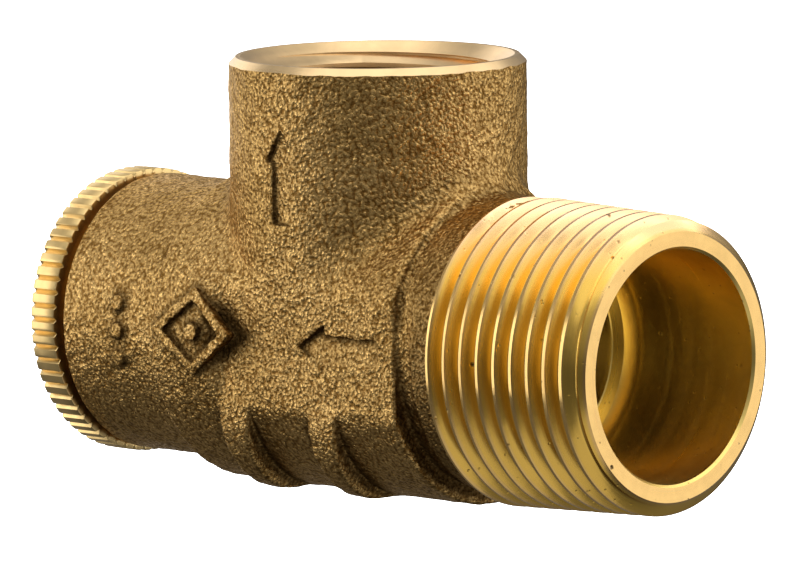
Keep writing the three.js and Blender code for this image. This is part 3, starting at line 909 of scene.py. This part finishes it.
def main_spring():
    """Round wire wound to a helix along X, its end turns closed. It is two halves, end to end, one named for
    the button end and one for the poppet end."""
    wire, mean, turns, closed_pitch, sides, per_turn = 0.9, 6.5, 5.5, 1.9, 16, 64
    start = SPRING_X[0] + wire + 0.03
    end = SPRING_X[1] - wire - 0.03
    open_turns = turns - 2
    open_pitch = (end - start - 2 * closed_pitch) / open_turns

    def half(name, first, last):
        steps = int((last - first) * per_turn)
        points = []
        for i in range(steps + 1):
            turn = first + (last - first) * i / steps
            closed = min(turn, 1) + max(turn - 1 - open_turns, 0)
            x = start + closed * closed_pitch + min(max(turn - 1, 0), open_turns) * open_pitch
            angle = 2 * math.pi * turn
            for k in range(sides):
                round_wire = 2 * math.pi * k / sides
                r = mean + wire * math.cos(round_wire)
                points.append((x + wire * math.sin(round_wire), r * math.cos(angle), r * math.sin(angle)))
        faces = []
        for i in range(steps):
            for k in range(sides):
                m = (k + 1) % sides
                faces.append((i * sides + k, (i + 1) * sides + k, (i + 1) * sides + m, i * sides + m))
        faces.append(tuple(range(sides)))
        faces.append(tuple(steps * sides + k for k in reversed(range(sides))))
        piece = finish_piece(make_object(name, points, faces, STEEL), None, "stainless", "main_spring")
        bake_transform(piece)

    middle, middle_x, gap = turns / 2, (start + end) / 2, 0.002
    half("spring_button_half", 0, middle - gap)
    half("spring_poppet_half", middle + gap, turns)


valve_body()
adjusting_cap()
inner_pieces()
o_ring()
disc_screw()
stem_clip()
main_spring()


# ---- Floor, light and camera ----

def direction(azimuth, elevation):
    """Unit vector from the object towards azimuth (0 is -Y, 90 is +X) and elevation, in degrees."""
    a, e = math.radians(azimuth), math.radians(elevation)
    return np.array([math.sin(a) * math.cos(e), -math.cos(a) * math.cos(e), math.sin(e)])


def look_along(obj, back, up=(0, 0, 1), roll=0.0):
    """Points an object's -Z axis against back, with a roll about it."""
    back = Vector(back).normalized()
    right = Vector(up).cross(back).normalized()
    above = back.cross(right)
    turned_right = right * math.cos(roll) + above * math.sin(roll)
    turned_up = above * math.cos(roll) - right * math.sin(roll)
    turn = Matrix((turned_right, turned_up, back)).transposed().to_4x4()
    obj.matrix_world = Matrix.Translation(obj.location) @ turn


def softbox(name, azimuth, elevation, distance, width, height, brightness):
    light = bpy.data.lights.new(name, "AREA")
    light.shape = "RECTANGLE"
    light.size = width
    light.size_y = height
    light.energy = brightness * math.pi * width * height
    obj = bpy.data.objects.new(name, light)
    bpy.context.scene.collection.objects.link(obj)
    back = direction(azimuth, elevation)
    obj.location = np.array([TEE_X, 0, 0]) + back * distance
    look_along(obj, back, up=(0, 0, 1) if abs(elevation) < 80 else (0, 1, 0))


def studio():
    mesh = bpy.data.meshes.new("floor")
    side, depth = 6.0, cad_box[0][2] - 0.03
    mesh.from_pydata([(-side, -side, depth), (side, -side, depth), (side, side, depth), (-side, side, depth)],
                     [], [(0, 1, 2, 3)])
    floor = bpy.data.objects.new("floor", mesh)
    bpy.context.scene.collection.objects.link(floor)
    n = Nodes("floor")
    n.set(Base_Color=(0.9, 0.9, 0.9, 1), Roughness=0.8, Emission_Color=(1, 1, 1, 1), Emission_Strength=2.0)
    mesh.materials.append(n.material)
    floor.visible_glossy = False
    floor.visible_diffuse = False

    world = bpy.data.worlds.new("studio")
    bpy.context.scene.world = world
    world.use_nodes = True
    tree = world.node_tree
    place = tree.nodes.new("ShaderNodeTexCoord")
    split = tree.nodes.new("ShaderNodeSeparateXYZ")
    ramp = tree.nodes.new("ShaderNodeValToRGB")
    tree.links.new(place.outputs["Generated"], split.inputs[0])
    remap = tree.nodes.new("ShaderNodeMapRange")
    remap.inputs["From Min"].default_value = -1
    tree.links.new(split.outputs["Z"], remap.inputs["Value"])
    tree.links.new(remap.outputs[0], ramp.inputs[0])
    stops = ((0.0, 0.03), (0.15, 0.18), (0.5, 0.08), (0.6, 0.25), (1.0, 0.5))
    while len(ramp.color_ramp.elements) < len(stops):
        ramp.color_ramp.elements.new(0.5)
    for element, (position, level) in zip(ramp.color_ramp.elements, stops):
        element.position = position
        element.color = (level, level, level, 1)
    background = tree.nodes["Background"]
    tree.links.new(ramp.outputs[0], background.inputs["Color"])
    background.inputs["Strength"].default_value = 1.0

    softbox("top", 60, 80, 0.6, 0.9, 0.8, 0.95)
    softbox("front_left", -51, 5, 0.6, 0.5, 0.5, 1.75)
    softbox("left", -110, 8, 0.6, 0.5, 0.65, 1.0)
    softbox("low_front", 6, 7, 0.6, 0.22, 0.4, 0.45)
    softbox("right", 142, 8, 0.6, 0.8, 0.6, 1.1)
    softbox("high_right", 150, 42, 0.55, 0.5, 0.25, 1.0)
    softbox("front_right", 92, 33, 0.6, 0.36, 0.3, 0.75)
    softbox("table_glow", 80, -38, 0.6, 0.8, 0.3, 0.4)
    bpy.context.scene.view_settings.view_transform = "Standard"


def camera():
    data = bpy.data.cameras.new("camera")
    data.sensor_width = 36
    data.lens = 420.6
    data.clip_start = 0.01
    obj = bpy.data.objects.new("camera", data)
    bpy.context.scene.collection.objects.link(obj)
    back = direction(43.02, 7.25)
    obj.location = np.array([TEE_X + 2.33 * MM, 0, 4.29 * MM]) + back * 0.8
    look_along(obj, back, roll=math.radians(-0.64))
    bpy.context.scene.camera = obj


studio()
camera()
